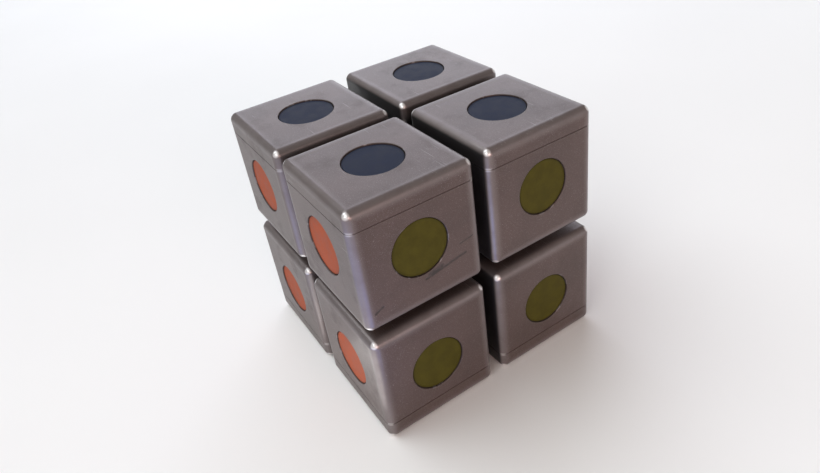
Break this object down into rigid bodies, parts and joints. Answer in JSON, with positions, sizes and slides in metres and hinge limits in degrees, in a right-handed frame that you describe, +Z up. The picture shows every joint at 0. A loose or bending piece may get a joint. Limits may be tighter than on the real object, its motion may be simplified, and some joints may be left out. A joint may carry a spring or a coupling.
{
  "type": "two-by-two twist puzzle cube",
  "caption": "Silver two-by-two turning puzzle cube: hollow cubelets with round coloured inlays on a hidden core, centre and edge mechanism.",
  "frame": {"origin": "middle of the cube and of its core", "axes": "+Z up through the top face, +X through the right face, +Y through the back face; the front face looks along -Y"},
  "size_m": [0.05, 0.05, 0.05],
  "materials": {
    "silver_shell": "satin silver-grey metallic paint on moulded plastic",
    "core_plastic": "moulded",
    "mechanism_plastic": "moulded, lightly greased",
    "screw_steel": "zinc plated",
    "inlay_navy": "satin",
    "inlay_red_orange": "satin",
    "inlay_olive": "satin",
    "inlay_white": "satin",
    "inlay_dark_red": "satin",
    "inlay_green": "satin"
  },
  "bodies": {
    "core": {"core": "core_plastic", "screw_spring_sets": "screw_steel"},
    "centre_left": {"centre_left": "mechanism_plastic"},
    "centre_front": {"centre_front": "mechanism_plastic"},
    "centre_down": {"centre_down": "mechanism_plastic"},
    "centre_up": {"centre_up": "mechanism_plastic"},
    "centre_back": {"centre_back": "mechanism_plastic"},
    "centre_right": {"centre_right": "mechanism_plastic"},
    "edge_left_front": {"edge_left_front": "mechanism_plastic"},
    "edge_down_left": {"edge_down_left": "mechanism_plastic"},
    "edge_up_left": {"edge_up_left": "mechanism_plastic"},
    "edge_left_back": {"edge_left_back": "mechanism_plastic"},
    "edge_down_front": {"edge_down_front": "mechanism_plastic"},
    "edge_up_front": {"edge_up_front": "mechanism_plastic"},
    "edge_down_back": {"edge_down_back": "mechanism_plastic"},
    "edge_up_back": {"edge_up_back": "mechanism_plastic"},
    "edge_right_front": {"edge_right_front": "mechanism_plastic"},
    "edge_down_right": {"edge_down_right": "mechanism_plastic"},
    "edge_up_right": {"edge_up_right": "mechanism_plastic"},
    "edge_right_back": {"edge_right_back": "mechanism_plastic"},
    "corner_down_left_front": {"cubelet_down_left_front": "silver_shell", "cap_down_left_front": "silver_shell", "inlay_down_of_down_left_front": "inlay_green", "inlay_left_of_down_left_front": "inlay_white", "inlay_front_of_down_left_front": "inlay_red_orange"},
    "corner_up_left_front": {"cubelet_up_left_front": "silver_shell", "cap_up_left_front": "silver_shell", "inlay_up_of_up_left_front": "inlay_navy", "inlay_left_of_up_left_front": "inlay_white", "inlay_front_of_up_left_front": "inlay_red_orange"},
    "corner_down_left_back": {"cubelet_down_left_back": "silver_shell", "cap_down_left_back": "silver_shell", "inlay_down_of_down_left_back": "inlay_green", "inlay_left_of_down_left_back": "inlay_white", "inlay_back_of_down_left_back": "inlay_dark_red"},
    "corner_up_left_back": {"cubelet_up_left_back": "silver_shell", "cap_up_left_back": "silver_shell", "inlay_up_of_up_left_back": "inlay_navy", "inlay_left_of_up_left_back": "inlay_white", "inlay_back_of_up_left_back": "inlay_dark_red"},
    "corner_down_right_front": {"cubelet_down_right_front": "silver_shell", "cap_down_right_front": "silver_shell", "inlay_down_of_down_right_front": "inlay_green", "inlay_right_of_down_right_front": "inlay_olive", "inlay_front_of_down_right_front": "inlay_red_orange"},
    "corner_up_right_front": {"cubelet_up_right_front": "silver_shell", "cap_up_right_front": "silver_shell", "inlay_up_of_up_right_front": "inlay_navy", "inlay_right_of_up_right_front": "inlay_olive", "inlay_front_of_up_right_front": "inlay_red_orange"},
    "corner_down_right_back": {"cubelet_down_right_back": "silver_shell", "cap_down_right_back": "silver_shell", "inlay_down_of_down_right_back": "inlay_green", "inlay_right_of_down_right_back": "inlay_olive", "inlay_back_of_down_right_back": "inlay_dark_red"},
    "corner_up_right_back": {"cubelet_up_right_back": "silver_shell", "cap_up_right_back": "silver_shell", "inlay_up_of_up_right_back": "inlay_navy", "inlay_right_of_up_right_back": "inlay_olive", "inlay_back_of_up_right_back": "inlay_dark_red"}
  },
  "joints": [
    {"name": "turn_left", "type": "hinge", "parent": "core", "child": "centre_left", "pos_m": [0, 0, 0], "axis": [1, 0, 0], "continuous": true},
    {"name": "turn_front", "type": "hinge", "parent": "core", "child": "centre_front", "pos_m": [0, 0, 0], "axis": [0, 1, 0], "continuous": true},
    {"name": "turn_down", "type": "hinge", "parent": "core", "child": "centre_down", "pos_m": [0, 0, 0], "axis": [0, 0, 1], "continuous": true},
    {"name": "turn_up", "type": "hinge", "parent": "core", "child": "centre_up", "pos_m": [0, 0, 0], "axis": [0, 0, 1], "continuous": true},
    {"name": "turn_back", "type": "hinge", "parent": "core", "child": "centre_back", "pos_m": [0, 0, 0], "axis": [0, 1, 0], "continuous": true},
    {"name": "turn_right", "type": "hinge", "parent": "core", "child": "centre_right", "pos_m": [0, 0, 0], "axis": [1, 0, 0], "continuous": true},
    {"name": "edge_left_front_with_front", "type": "hinge", "parent": "centre_left", "child": "edge_left_front", "pos_m": [0, 0, 0], "axis": [0, 1, 0], "continuous": true},
    {"name": "edge_down_left_with_left", "type": "hinge", "parent": "centre_down", "child": "edge_down_left", "pos_m": [0, 0, 0], "axis": [1, 0, 0], "continuous": true},
    {"name": "edge_up_left_with_left", "type": "hinge", "parent": "centre_up", "child": "edge_up_left", "pos_m": [0, 0, 0], "axis": [1, 0, 0], "continuous": true},
    {"name": "edge_left_back_with_back", "type": "hinge", "parent": "centre_left", "child": "edge_left_back", "pos_m": [0, 0, 0], "axis": [0, 1, 0], "continuous": true},
    {"name": "edge_down_front_with_down", "type": "hinge", "parent": "centre_front", "child": "edge_down_front", "pos_m": [0, 0, 0], "axis": [0, 0, 1], "continuous": true},
    {"name": "edge_up_front_with_up", "type": "hinge", "parent": "centre_front", "child": "edge_up_front", "pos_m": [0, 0, 0], "axis": [0, 0, 1], "continuous": true},
    {"name": "edge_down_back_with_down", "type": "hinge", "parent": "centre_back", "child": "edge_down_back", "pos_m": [0, 0, 0], "axis": [0, 0, 1], "continuous": true},
    {"name": "edge_up_back_with_up", "type": "hinge", "parent": "centre_back", "child": "edge_up_back", "pos_m": [0, 0, 0], "axis": [0, 0, 1], "continuous": true},
    {"name": "edge_right_front_with_front", "type": "hinge", "parent": "centre_right", "child": "edge_right_front", "pos_m": [0, 0, 0], "axis": [0, 1, 0], "continuous": true},
    {"name": "edge_down_right_with_right", "type": "hinge", "parent": "centre_down", "child": "edge_down_right", "pos_m": [0, 0, 0], "axis": [1, 0, 0], "continuous": true},
    {"name": "edge_up_right_with_right", "type": "hinge", "parent": "centre_up", "child": "edge_up_right", "pos_m": [0, 0, 0], "axis": [1, 0, 0], "continuous": true},
    {"name": "edge_right_back_with_back", "type": "hinge", "parent": "centre_right", "child": "edge_right_back", "pos_m": [0, 0, 0], "axis": [0, 1, 0], "continuous": true},
    {"name": "corner_down_left_front_with_front", "type": "hinge", "parent": "edge_down_left", "child": "corner_down_left_front", "pos_m": [0, 0, 0], "axis": [0, 1, 0], "continuous": true},
    {"name": "corner_up_left_front_with_front", "type": "hinge", "parent": "edge_up_left", "child": "corner_up_left_front", "pos_m": [0, 0, 0], "axis": [0, 1, 0], "continuous": true},
    {"name": "corner_down_left_back_with_back", "type": "hinge", "parent": "edge_down_left", "child": "corner_down_left_back", "pos_m": [0, 0, 0], "axis": [0, 1, 0], "continuous": true},
    {"name": "corner_up_left_back_with_back", "type": "hinge", "parent": "edge_up_left", "child": "corner_up_left_back", "pos_m": [0, 0, 0], "axis": [0, 1, 0], "continuous": true},
    {"name": "corner_down_right_front_with_front", "type": "hinge", "parent": "edge_down_right", "child": "corner_down_right_front", "pos_m": [0, 0, 0], "axis": [0, 1, 0], "continuous": true},
    {"name": "corner_up_right_front_with_front", "type": "hinge", "parent": "edge_up_right", "child": "corner_up_right_front", "pos_m": [0, 0, 0], "axis": [0, 1, 0], "continuous": true},
    {"name": "corner_down_right_back_with_back", "type": "hinge", "parent": "edge_down_right", "child": "corner_down_right_back", "pos_m": [0, 0, 0], "axis": [0, 1, 0], "continuous": true},
    {"name": "corner_up_right_back_with_back", "type": "hinge", "parent": "edge_up_right", "child": "corner_up_right_back", "pos_m": [0, 0, 0], "axis": [0, 1, 0], "continuous": true}
  ],
  "couplings": [
    {"joint": "edge_left_front_with_front", "follows": "turn_front", "ratio": 1},
    {"joint": "edge_down_left_with_left", "follows": "turn_left", "ratio": 1},
    {"joint": "edge_up_left_with_left", "follows": "turn_left", "ratio": 1},
    {"joint": "edge_left_back_with_back", "follows": "turn_back", "ratio": 1},
    {"joint": "edge_down_front_with_down", "follows": "turn_down", "ratio": 1},
    {"joint": "edge_up_front_with_up", "follows": "turn_up", "ratio": 1},
    {"joint": "edge_down_back_with_down", "follows": "turn_down", "ratio": 1},
    {"joint": "edge_up_back_with_up", "follows": "turn_up", "ratio": 1},
    {"joint": "edge_right_front_with_front", "follows": "turn_front", "ratio": 1},
    {"joint": "edge_down_right_with_right", "follows": "turn_right", "ratio": 1},
    {"joint": "edge_up_right_with_right", "follows": "turn_right", "ratio": 1},
    {"joint": "edge_right_back_with_back", "follows": "turn_back", "ratio": 1},
    {"joint": "corner_down_left_front_with_front", "follows": "turn_front", "ratio": 1},
    {"joint": "corner_up_left_front_with_front", "follows": "turn_front", "ratio": 1},
    {"joint": "corner_down_left_back_with_back", "follows": "turn_back", "ratio": 1},
    {"joint": "corner_up_left_back_with_back", "follows": "turn_back", "ratio": 1},
    {"joint": "corner_down_right_front_with_front", "follows": "turn_front", "ratio": 1},
    {"joint": "corner_up_right_front_with_front", "follows": "turn_front", "ratio": 1},
    {"joint": "corner_down_right_back_with_back", "follows": "turn_back", "ratio": 1},
    {"joint": "corner_up_right_back_with_back", "follows": "turn_back", "ratio": 1}
  ]
}
